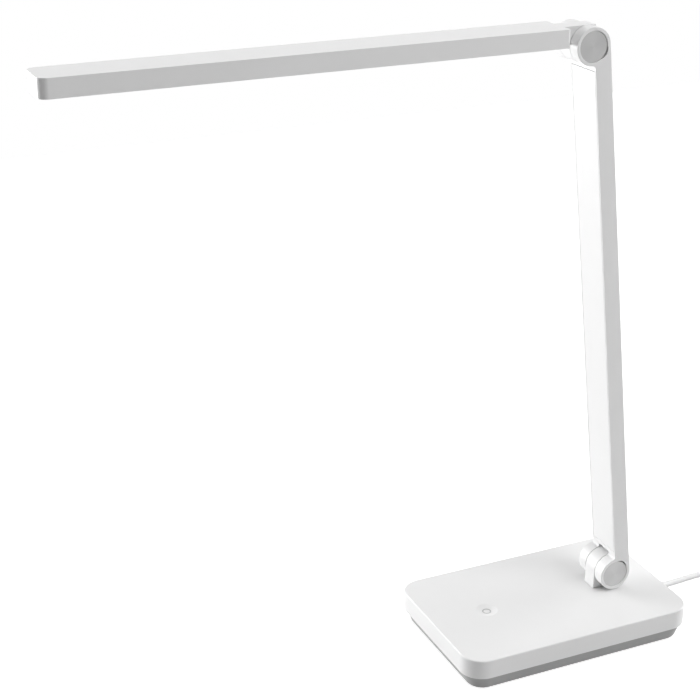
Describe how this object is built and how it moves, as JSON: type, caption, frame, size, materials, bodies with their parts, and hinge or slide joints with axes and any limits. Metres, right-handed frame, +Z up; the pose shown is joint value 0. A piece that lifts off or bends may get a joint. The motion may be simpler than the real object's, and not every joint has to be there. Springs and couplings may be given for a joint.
{
  "type": "folding desk lamp",
  "caption": "White folding desk lamp: weighted rectangular base with a touch key, straight hinged arm and a slim hinged light bar, with a thin white lead.",
  "frame": {"origin": "centre of the pad's underside, on the desk", "axes": "+Z up, -X toward the light bar's free end, +X toward the lead, -Y the side nearest the camera"},
  "size_m": [0.5145, 0.1314, 0.4049],
  "materials": {
    "cover_white": "fine satin texture",
    "tray_grey": "matte",
    "pad_rubber": "matte",
    "screw_steel": "zinc plated",
    "ballast_steel": "rolled plate",
    "board_green": "solder mask",
    "foil_copper": "copper foil and spring",
    "ring_grey": "satin",
    "lead_dark": "flexible sheath",
    "washer_dark": "filled friction washer",
    "cap_metal": "fine spun grain",
    "diffuser_opal": "opal, finely frosted",
    "reflector_white": "bright white",
    "board_white": "white solder mask",
    "led_yellow": "phosphor",
    "cord_white": "smooth flexible sheath",
    "grip_white": "matte",
    "plug_steel": "nickel plated",
    "plug_dark": "matte"
  },
  "bodies": {
    "base": {"base_cover": "cover_white", "base_tray": "tray_grey", "base_pad": "pad_rubber", "base_screws": "screw_steel", "ballast_plate": "ballast_steel", "hinge_post": "cover_white", "post_screws": "screw_steel", "control_board": "board_green", "board_screws": "screw_steel", "touch_pad": "foil_copper", "touch_ring": "ring_grey", "strain_relief": "cover_white", "inlet_lead": "lead_dark", "post_lead": "lead_dark", "power_cord": "cord_white", "cord_coil": "cord_white", "cord_tie": "lead_dark", "cord_tail": "cord_white", "plug_grip": "grip_white", "plug_shell": "plug_steel", "plug_insert": "plug_dark"},
    "arm": {"arm_shell": "cover_white", "arm_cover": "cover_white", "arm_spine": "screw_steel", "arm_lead": "lead_dark", "lower_shaft": "screw_steel", "lower_washers": "washer_dark", "lower_springs": "screw_steel", "lower_nut": "screw_steel", "lower_cap_left": "cap_metal", "lower_cap_right": "cap_metal", "upper_shaft": "screw_steel", "upper_washers": "washer_dark", "upper_springs": "screw_steel", "upper_nut": "screw_steel", "upper_cap_left": "cap_metal", "upper_cap_right": "cap_metal"},
    "bar": {"bar_shell": "cover_white", "bar_tongue": "cover_white", "bar_screws": "screw_steel", "diffuser": "diffuser_opal", "reflector": "reflector_white", "led_board": "board_white", "leds": "led_yellow", "bar_lead": "lead_dark"}
  },
  "joints": [
    {"name": "arm_fold", "type": "hinge", "parent": "base", "child": "arm", "pos_m": [0.0469, 0, 0.0361], "axis": [0, -1, 0], "range_deg": [-36.67, 83.33]},
    {"name": "bar_fold", "type": "hinge", "parent": "arm", "child": "bar", "pos_m": [0.00509, 0, 0.39366], "axis": [0, -1, 0], "range_deg": [-53.33, 96.67]}
  ]
}
